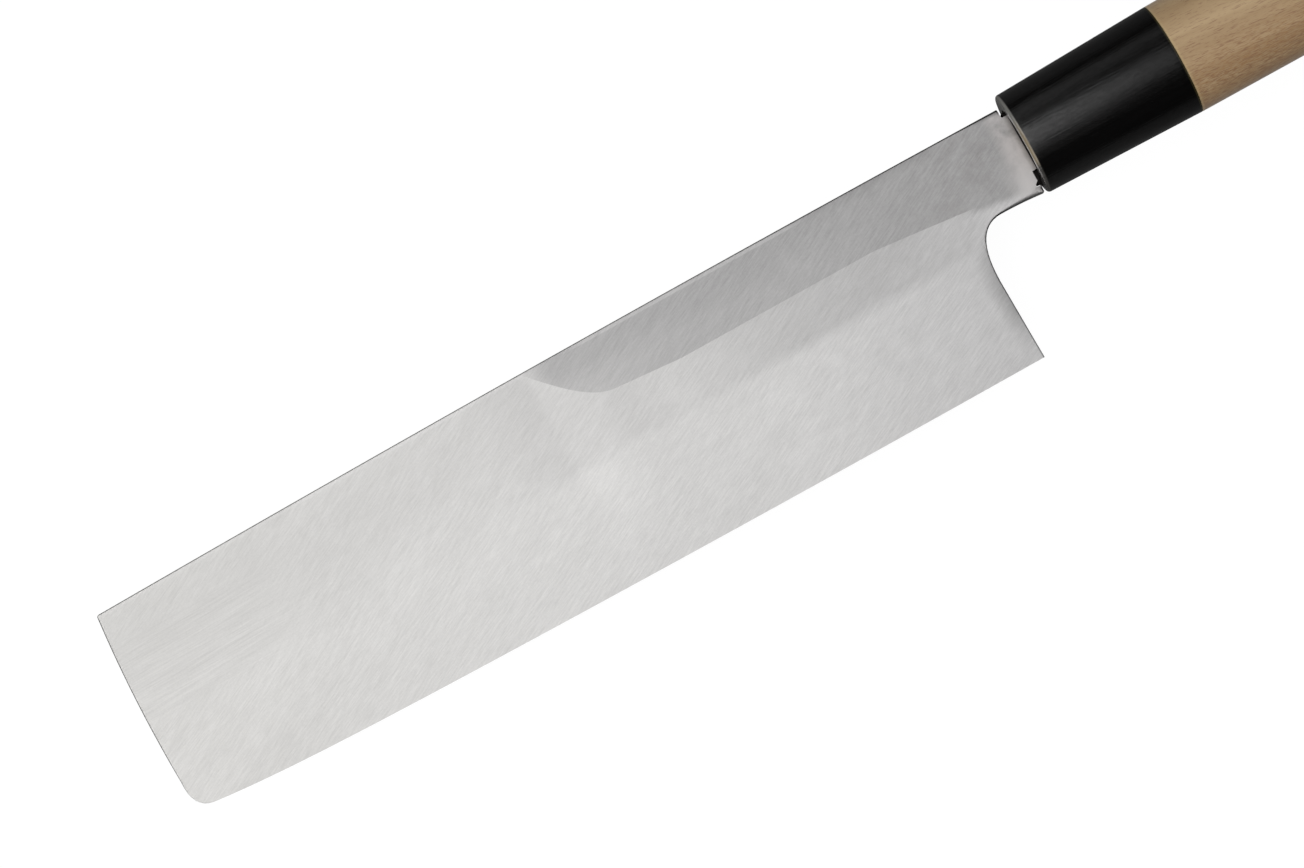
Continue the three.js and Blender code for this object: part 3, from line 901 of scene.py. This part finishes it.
# Carbon steel, ground on a wheel and left satin: pale grey, with fine slanting scratches that
# break the reflection into soft streaks, a duller upper flat, painted shade on the rounded rims and painted
# light and shade along the bevel.
def groundSteel():
    material, tree, shader = newMaterial("groundCarbonSteel")
    space = knifeSpace(tree)
    where = addNode(tree, "ShaderNodeSeparateXYZ", [space])
    zone = addNode(tree, "ShaderNodeAttribute", attribute_name="flatZone")["Fac"]
    rimShaded = addNode(tree, "ShaderNodeAttribute", attribute_name="paintedRimShade")["Fac"]
    fields = scratchFields(tree, space, where)
    colour = groundColour(tree, where, zone, fields)
    colour = handledColour(tree, space, where, zone, colour)
    # painted shade darkens the rounded rims
    colour = addNode(tree, "ShaderNodeMix", {
        0: rimShaded, 6: colour, 7: hexColour(steelLook["rim"])}, data_type="RGBA")[2]
    rough = addNode(tree, "ShaderNodeMapRange", [fields[0], 0.3, 0.7, *steelLook["roughness"]])[0]
    bump = addNode(tree, "ShaderNodeBump", {
        "Height": fields[0], "Strength": 0.15, "Distance": steelLook["scratchDepth"] * mm})[0]
    feed(tree, shader, {"Base Color": colour, "Metallic": 1.0, "Roughness": rough, "Normal": bump})
    return material


hornLook = {
    "dark": "#020202",
    "light": "#080707",
    "shadedLowEnd": "#454340",  # the sanded front face, with painted shade below the tang, under the neck
    "midEnd": "#8d8069",
    # partly the sanded face's own grey, partly painted light on a face that the blade shades
    "end": "#7a7975",
    "endRuns": {"midEnd": (-5.5, -4.0), "end": (0.5, 5.0)},  # heights
    "endDepth": (0.37, 0.67),
    "seam": "#332e19",  # thin edge by the wood, where light gets into the horn
    "seamWidth": (0.15, 0.45),
    "ior": 1.54,
    "roughness": (0.09, 0.15),
    "polish": (0.6, 0.36),  # the sheen dulls from the mouth to the wood
    "fibre": (30.0, 0.8),  # length and width in mm
    "fineFibre": (14.0, 0.22),
    "fibreDepth": 0.04,
    "specks": (1.0, 0.5, 0.5),  # size in mm of the brighter and duller spots in the polish
    "speckRange": (0.6, 1.4),
}


# Water-buffalo horn, turned and polished: almost black, with faint lengthwise fibres.
def buffaloHorn():
    material, tree, shader = newMaterial("polishedBuffaloHorn")
    space = knifeSpace(tree)
    where = addNode(tree, "ShaderNodeSeparateXYZ", [space])
    fields = []
    for length, width in (hornLook["fibre"], hornLook["fineFibre"]):
        fibres = addNode(tree, "ShaderNodeMapping", {
            "Vector": space, "Scale": (length, width, width)}, vector_type="TEXTURE")[0]
        fields.append(addNode(tree, "ShaderNodeTexNoise", {
            "Vector": fibres, "Scale": 1.0, "Detail": 3.0})[0])
    colour = addNode(tree, "ShaderNodeMix", {
        0: fields[0], 6: hexColour(hornLook["dark"]), 7: hexColour(hornLook["light"])}, data_type="RGBA")[2]
    # the front face: its own sanded grey, painted lighter, with painted shade at its foot
    end = hexColour(hornLook["shadedLowEnd"])
    for finish, heights in hornLook["endRuns"].items():
        up = addNode(tree, "ShaderNodeMapRange", [where["Y"], *heights])[0]
        end = addNode(tree, "ShaderNodeMix", {
            0: up, 6: end, 7: hexColour(hornLook[finish])}, data_type="RGBA")[2]
    endPlaces = [hornX + depth for depth in hornLook["endDepth"]]
    seamPlaces = [collarX - width for width in hornLook["seamWidth"]]
    for finish, places in ((end, endPlaces), (hexColour(hornLook["seam"]), seamPlaces)):
        near = addNode(tree, "ShaderNodeMapRange", [where["X"], *places, 1.0, 0.0])[0]
        colour = addNode(tree, "ShaderNodeMix", {0: near, 6: colour, 7: finish}, data_type="RGBA")[2]
    polish = addNode(tree, "ShaderNodeMapRange", [where["X"], hornX, collarX, *hornLook["polish"]])[0]
    specks = addNode(tree, "ShaderNodeMapping", {
        "Vector": space, "Scale": hornLook["specks"]}, vector_type="TEXTURE")[0]
    specks = addNode(tree, "ShaderNodeTexNoise", {"Vector": specks, "Scale": 1.0, "Detail": 2.0})[0]
    specks = addNode(tree, "ShaderNodeMapRange", [specks, 0.0, 1.0, *hornLook["speckRange"]])[0]
    polish = addNode(tree, "ShaderNodeMath", [polish, specks], operation="MULTIPLY")[0]
    rough = addNode(tree, "ShaderNodeMapRange", [fields[0], 0.0, 1.0, *hornLook["roughness"]])[0]
    bump = addNode(tree, "ShaderNodeBump", {
        "Height": fields[1], "Strength": 0.9, "Distance": hornLook["fibreDepth"] * mm})[0]
    feed(tree, shader, {
        "Base Color": colour, "IOR": hornLook["ior"], "Specular IOR Level": polish, "Roughness": rough,
        "Normal": bump})
    return material


woodLook = {
    "light": "#b49a75",
    "dark": "#9f835f",
    "lower": "#9a7349",  # redder wood on the edge side
    "lowerShare": 0.45,
    "lowerRun": (-7.0, 0.0),  # heights
    "fleck": "#86644a",
    "fleckShare": 0.75,
    "fleckLeast": (0.49, 0.54),  # the smaller number shows more pores, so the lower half has more
    "fleckRun": (-10.0, 4.0),  # heights
    "fleckSpread": 0.1,
    "rim": "#bda679",  # lighter edge against the horn, a painted highlight
    "rimWidth": (0.2, 0.6),
    "rimShare": 0.4,
    "end": "#b39d80",  # end grain at the mouth
    "endDepth": (0.2, 0.4),
    "mouthShade": "#14100d",  # painted shade in the mouth, above and below the tang
    "mouthShadeFade": (-0.3, 0.1),  # from the tang's upper and lower edges
    "mouthShadeDepth": 0.5,
    "roughness": 0.62,
    "fuzz": 0.5,  # raised fibres catch light at the sides
    "fuzzRoughness": 0.4,
    "grainTurn": -5.0,  # degrees that the grain runs off the handle's length
    "grainShift": 3.0,
    "band": (60.0, 2.5),  # length and width in mm
    "pores": ((2.2, 0.17), (1.2, 0.22)),
    "poreDepth": 0.05,
}


def fleckedGrain(tree, where, fields, pores):  # bands, redder patches below and dark pores
    grain = addNode(tree, "ShaderNodeMapRange", [fields[0], 0.3, 0.7])[0]
    base = addNode(tree, "ShaderNodeMix", {
        0: grain, 6: hexColour(woodLook["dark"]), 7: hexColour(woodLook["light"])}, data_type="RGBA")[2]
    redder = addNode(tree, "ShaderNodeMapRange", [
        where["Y"], *woodLook["lowerRun"], woodLook["lowerShare"], 0.0])[0]
    patchy = addNode(tree, "ShaderNodeMapRange", [fields[2], 0.35, 0.65, 0.0, 2.0])[0]
    redder = addNode(tree, "ShaderNodeMath", [redder, patchy], operation="MULTIPLY")[0]
    base = addNode(tree, "ShaderNodeMix", {
        0: redder, 6: base, 7: hexColour(woodLook["lower"])}, data_type="RGBA")[2]
    least = addNode(tree, "ShaderNodeMapRange", [
        where["Y"], *woodLook["fleckRun"], *woodLook["fleckLeast"]])[0]
    fleck = addNode(tree, "ShaderNodeMath", [pores, least], operation="SUBTRACT")[0]
    fleck = addNode(tree, "ShaderNodeMapRange", [
        fleck, 0.0, woodLook["fleckSpread"], 0.0, woodLook["fleckShare"]])[0]
    return addNode(tree, "ShaderNodeMix", {
        0: fleck, 6: base, 7: hexColour(woodLook["fleck"])}, data_type="RGBA")[2]


def cutEnds(tree, where, colour):  # the painted highlight on the rim against the horn, the end grain and the painted shade in the mouth
    rim = [collarX + width for width in woodLook["rimWidth"]]
    end = [ferruleX + depth for depth in woodLook["endDepth"]]
    for finish, places, share in (("rim", rim, woodLook["rimShare"]), ("end", end, 1.0)):
        cut = addNode(tree, "ShaderNodeMapRange", [where["X"], *places, share, 0.0])[0]
        colour = addNode(tree, "ShaderNodeMix", {
            0: cut, 6: colour, 7: hexColour(woodLook[finish])}, data_type="RGBA")[2]
    # painted shade in the mouth, above and below the tang
    front = addNode(tree, "ShaderNodeMath", [
        where["X"], ferruleX + woodLook["mouthShadeDepth"]], operation="LESS_THAN")[0]
    off = addNode(tree, "ShaderNodeMath", [where["Y"], tang["rise"]], operation="SUBTRACT")[0]
    off = addNode(tree, "ShaderNodeMath", [off], operation="ABSOLUTE")[0]
    fade = [tang["height"] / 2 + step for step in woodLook["mouthShadeFade"]]
    mouthShade = addNode(tree, "ShaderNodeMapRange", [off, *fade])[0]
    mouthShade = addNode(tree, "ShaderNodeMath", [mouthShade, front], operation="MULTIPLY")[0]
    return addNode(tree, "ShaderNodeMix", {
        0: mouthShade, 6: colour, 7: hexColour(woodLook["mouthShade"])}, data_type="RGBA")[2]


# Magnolia, sanded and left bare: soft tan, straight grain, short reddish-brown pores.
def bareMagnolia():
    material, tree, shader = newMaterial("sandedMagnolia")
    space = knifeSpace(tree)
    where = addNode(tree, "ShaderNodeSeparateXYZ", [space])
    fields = []
    for length, width in (woodLook["band"],) + woodLook["pores"]:
        grain = addNode(tree, "ShaderNodeMapping", {
            "Vector": space, "Location": (0, woodLook["grainShift"], 0),
            "Rotation": (0, 0, math.radians(woodLook["grainTurn"])),
            "Scale": (length, width, width)}, vector_type="TEXTURE")[0]
        fields.append(addNode(tree, "ShaderNodeTexNoise", {
            "Vector": grain, "Scale": 1.0, "Detail": 2.0})[0])
    pores = addNode(tree, "ShaderNodeMix", {0: 0.4, 2: fields[1], 3: fields[2]}, data_type="FLOAT")[0]
    colour = cutEnds(tree, where, fleckedGrain(tree, where, fields, pores))
    bump = addNode(tree, "ShaderNodeBump", {
        "Height": pores, "Strength": 0.15, "Distance": woodLook["poreDepth"] * mm})[0]
    feed(tree, shader, {
        "Base Color": colour, "Roughness": woodLook["roughness"], "Sheen Weight": woodLook["fuzz"],
        "Sheen Roughness": woodLook["fuzzRoughness"], "Normal": bump})
    return material


resinLook = {
    "dark": "#050403",
    "light": "#130e0b",
    "lump": 0.5,  # size in mm
    "roughness": (0.6, 0.8),
    "specular": 0.2,
}


# Resin that sealed the tang, set dark and dull with a faint gloss.
def setResin():
    material, tree, shader = newMaterial("setTangResin")
    lumps = addNode(tree, "ShaderNodeTexNoise", {
        "Vector": knifeSpace(tree), "Scale": 1 / resinLook["lump"], "Detail": 3.0})[0]
    colour = addNode(tree, "ShaderNodeMix", {
        0: lumps, 6: hexColour(resinLook["dark"]), 7: hexColour(resinLook["light"])}, data_type="RGBA")[2]
    rough = addNode(tree, "ShaderNodeMapRange", [lumps, 0.0, 1.0, *resinLook["roughness"]])[0]
    feed(tree, shader, {
        "Base Color": colour, "Roughness": rough, "Specular IOR Level": resinLook["specular"]})
    return material


steel = groundSteel()
horn = buffaloHorn()
wood = bareMagnolia()
print("materials made")

taperedOval = ovalTree()
ferrulePiece = ovalPiece("horn_ferrule", taperedOval, horn, hornX, collarX, oval["front"], oval["collar"],
                         oval["frontRound"], oval["collarRound"])
past = oval["cutPast"]
bore = roundBar(ferruleX - past, collarX + past, oval["noseRadius"] + oval["noseSpare"])
combine(ferrulePiece, bore, "DIFFERENCE")
smoothFaces(ferrulePiece, 30)
gripPiece = ovalPiece("wooden_grip", taperedOval, wood, collarX, buttX, oval["collar"], oval["butt"],
                      oval["collarRound"], oval["buttRound"])
combine(gripPiece, roundBar(ferruleX + oval["noseRecess"], collarX + past, oval["noseRadius"]), "UNION")
socket = tangMesh(0, tang["length"] + past, oval["socketSpare"])
combine(gripPiece, newObject("socket", socket), "DIFFERENCE")
pocket = {  # widened mouth of the socket, which the resin fills
    "end": ferruleX + oval["noseRecess"] + 4,
    "low": tangBottom - 1.1,
    "high": tangTop + 0.7,
    "side": tang["thickness"] / 2 + 0.5,
}
ends = [(x, pocket["low"], pocket["high"], pocket["side"]) for x in (0, pocket["end"])]
combine(gripPiece, newObject("pocket", boxMesh("pocket", ends)), "DIFFERENCE")
smoothFaces(gripPiece, 30)
print("ferrule and grip made")

# Resin: a collar round the tang's mouth, a drop under it and a bead above; the drop and bead are partly
# resin, partly painted shade in the gap at the machi
resin = {
    "proud": 0.3,
    "gap": 0.1,  # to the pieces round it
    "drop": 1.6,
    "dropStretch": (1.1, 1.25, 1, 1),
    "bead": 0.4,
    "beadRise": 0.3,
    "beadStretch": (1.8, 1.5, 3, 1),
    "lumps": 0.05,
    "lumpScale": 0.8,
    "sag": 0.75,  # beyond the notch's lip the drop hangs lower
    "sagRun": (0.35, 0.55),
    "noseMargin": 0.2,
    "voxel": 0.09,
}


def dropAndBead():  # the drop and the bead, kept between the machi and the handle; partly resin, partly painted shade
    gap = resin["gap"]
    lump = bmesh.new()
    endX = ferruleX - gap
    middle = Matrix.Translation(((endX - notch["depth"] + gap) / 2, tangBottom - resin["drop"], 0))
    middle @= Matrix.Diagonal(resin["dropStretch"])
    bmesh.ops.create_icosphere(lump, subdivisions=4, radius=resin["drop"], matrix=middle)
    upper = Matrix.Translation((endX / 2, tangTop + resin["beadRise"], 0))
    upper @= Matrix.Diagonal(resin["beadStretch"])
    bmesh.ops.create_icosphere(lump, subdivisions=3, radius=resin["bead"], matrix=upper)
    for vertex in lump.verts:
        vertex.co *= 1 - resin["lumps"] * max(0.0, noise.noise(vertex.co * resin["lumpScale"]))
        onNose = math.hypot(vertex.co.y, vertex.co.z) < oval["noseRadius"] - resin["noseMargin"]
        wall = ferruleX if onNose else hornX
        vertex.co.x = clamp(vertex.co.x, gap + notchX(vertex.co.y), wall - gap)
        sag = resin["sag"] * passed(vertex.co.x, resin["sagRun"])
        vertex.co.y = max(vertex.co.y, notchLow + gap - sag)
    mesh = bpy.data.meshes.new("drop")
    lump.to_mesh(mesh)
    lump.free()
    mesh.transform(toRow)
    outward(mesh)
    return newObject("drop", mesh)


def makeResin():
    gap = resin["gap"]
    ends = []
    for x in (ferruleX + oval["noseRecess"] - resin["proud"], pocket["end"] - gap):
        ends.append((x, pocket["low"] + gap, pocket["high"] - gap, pocket["side"] - gap))
    collar = newObject("resin", boxMesh("resin", ends))
    combine(collar, dropAndBead(), "UNION")
    remesh = collar.modifiers.new("remesh", "REMESH")
    remesh.mode = "VOXEL"
    remesh.voxel_size = resin["voxel"] * mm
    smooth = collar.modifiers.new("smooth", "SMOOTH")
    smooth.iterations = 6
    settle(collar)
    combine(collar, newObject("tang", tangMesh(-tang["root"], tang["length"], gap)), "DIFFERENCE")
    return collar


resinPiece = makeResin()
smoothFaces(resinPiece, 50)
print("resin:", len(resinPiece.data.polygons), "faces")

for piece, finish, slot, nodes in ((bladePiece, steel, "soft_iron", ("blade_body", "cutting_steel")),
                                   (ferrulePiece, horn, "horn", ("ferrule",)),
                                   (gripPiece, wood, "magnolia_wood", ("handle",)),
                                   (resinPiece, setResin(), "dark_resin", ("tang_resin",))):
    piece.data.materials.clear()
    piece.data.materials.append(finish)
    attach(piece, "root")
    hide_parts(*nodes)
print("pieces placed")

# Camera: straight down on the blade's face, the blade slanting up to the right, as photographed
view = {
    "frame": (1304, 868),  # pixels of the photograph
    "pixel": 0.1873,  # mm on the blade to a pixel
    "focal": 4838.0,  # in pixels
    "slant": 29.35,  # degrees of the blade's length above level
    "centre": (-86.0, -13.32),  # point of the blade in the middle of the picture
}


def makeCamera():
    data = bpy.data.cameras.new("camera")
    data.sensor_width = 36.0
    data.lens = data.sensor_width * view["focal"] / view["frame"][0]
    data.clip_end = 20.0
    camera = newObject("camera", data)
    slant = math.radians(view["slant"])
    right = alongX * math.cos(slant) - acrossY * math.sin(slant)
    up = alongX * math.sin(slant) + acrossY * math.cos(slant)
    distance = view["focal"] * view["pixel"]
    spot = toRow @ Vector((view["centre"][0], view["centre"][1], distance))
    camera.matrix_world = Matrix.Translation(spot) @ Matrix((right, up, outZ)).transposed().to_4x4()
    bpy.context.scene.camera = camera


# Stage, in m: white paper in a dim room, under a soft box that is brightest over the blade's middle
stage = {
    "paperHalf": 6.0,
    "paper": "#484848",
    "glow": 0.965,
    "glowInReflections": 0.05,  # share of the glow that the knife mirrors
    "room": 0.03,
    "roomBehind": 0.985,  # what the camera sees of the room
    # name, place, target, size across and along, brightness (1 is white)
    "lamps": (("overHandle", (0.28, 0.16, 1.2), (0.28, 0.16, 0), (0.43, 0.84), 0.38),
              ("besideSpine", (0, 1.4, 0.9), (0, 0, 0), (1.6, 0.7), 0.3)),
    # wide lamps at the four corners, out of sight of the blade's straight rims
    "corners": (1.05, 0.85, 1.1),
    "cornerLook": ((1.2, 1.2), 1.85),  # size and brightness
    # strips of the soft box: y from and to, brightness
    "strips": ((0.76, 1.2, 0.36), (0.62, 0.76, 0.6), (0.5, 0.62, 1.0), (0.1, 0.5, 1.62), (-0.06, 0.1, 1.55),
               (-0.22, -0.06, 1.1), (-0.42, -0.22, 0.76), (-0.66, -0.42, 0.4), (-0.95, -0.66, 0.14)),
    "stripX": -0.47,
    "stripHeight": 1.2,
    "stripLength": 1.07,
}


# Matte white paper, lit through: no gloss, and hardly a shadow
def makePaper():
    half = stage["paperHalf"]
    corners = [(-half, -half, 0), (half, -half, 0), (half, half, 0), (-half, half, 0)]
    mesh = bpy.data.meshes.new("floor")
    mesh.from_pydata(corners, [], [(0, 1, 2, 3)])
    floor = newObject("floor", mesh)
    material, tree, shader = newMaterial("matteWhitePaper")
    ray = addNode(tree, "ShaderNodeLightPath")
    seen = addNode(tree, "ShaderNodeMath", [
        ray["Is Glossy Ray"], ray["Is Transmission Ray"]], operation="ADD")[0]
    seen = addNode(tree, "ShaderNodeMath", [
        seen, stage["glowInReflections"], ray["Is Camera Ray"]],
        operation="MULTIPLY_ADD", use_clamp=True)[0]
    glow = addNode(tree, "ShaderNodeMath", [seen, stage["glow"]], operation="MULTIPLY")[0]
    feed(tree, shader, {
        "Base Color": hexColour(stage["paper"]), "Roughness": 0.9, "Specular IOR Level": 0.0,
        "Emission Color": hexColour("#ffffff"), "Emission Strength": glow})
    floor.data.materials.append(material)


def makeRoom():
    world = bpy.data.worlds.new("dimStudio")
    world.use_nodes = True
    bpy.context.scene.world = world
    tree = world.node_tree
    ray = addNode(tree, "ShaderNodeLightPath")
    level = addNode(tree, "ShaderNodeMapRange", [
        ray["Is Camera Ray"], 0.0, 1.0, stage["room"], stage["roomBehind"]])[0]
    feed(tree, tree.nodes["Background"], {"Color": hexColour("#ffffff"), "Strength": level})


def makeLamps():
    lamps = list(stage["lamps"])
    farX, farY, height = stage["corners"]
    for x in (-farX, farX):
        for y in (-farY, farY):
            lamps.append(("corner", (x, y, height), (0, 0, 0), *stage["cornerLook"]))
    for low, high, bright in stage["strips"]:
        spot = (stage["stripX"], (low + high) / 2)
        size = (stage["stripLength"], high - low)
        lamps.append(("overBlade", spot + (stage["stripHeight"],), spot + (0,), size, bright))
    for name, spot, target, size, bright in lamps:
        data = bpy.data.lights.new(name, "AREA")
        data.shape = "RECTANGLE"
        data.size, data.size_y = size
        data.energy = bright * math.pi * size[0] * size[1]
        lamp = newObject(name, data)
        lamp.location = spot
        lamp.rotation_euler = (Vector(target) - Vector(spot)).to_track_quat("-Z", "Y").to_euler()


makeCamera()
makePaper()
makeRoom()
makeLamps()
bpy.context.scene.view_settings.view_transform = "Standard"
print("camera and stage made")
